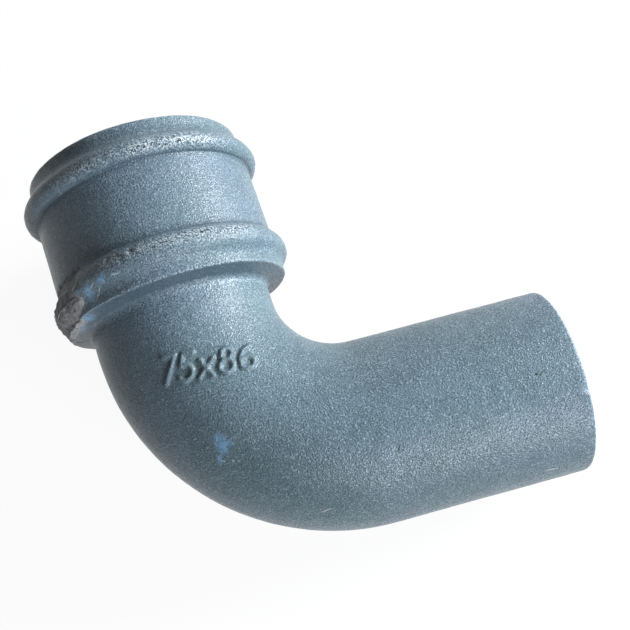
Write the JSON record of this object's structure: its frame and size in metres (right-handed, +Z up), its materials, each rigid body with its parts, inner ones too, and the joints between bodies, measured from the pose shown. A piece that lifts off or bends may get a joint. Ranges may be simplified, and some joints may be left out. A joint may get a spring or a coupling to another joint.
{
  "type": "cast iron pipe elbow",
  "caption": "Cast iron rainwater pipe bend for a turn of just under a right angle, with a beaded socket for the pipe above and a plain spigot for the socket below.",
  "frame": {"origin": "centre of the socket's seat, where the end of the next pipe comes to a stop", "axes": "+X along the spigot's axis, out of its end; +Z up as the bend lies on its side at rest, on the spigot and the socket's lower bead, which tips the mouth of the socket up by 9 degrees; the socket opens towards +Y"},
  "size_m": [0.2172, 0.1967, 0.1174],
  "materials": {
    "primed_iron": "blue-grey transit primer, semi-gloss, over a fine sand-cast surface"
  },
  "bodies": {
    "root": {"pipe_bend": "primed_iron"}
  },
  "joints": []
}
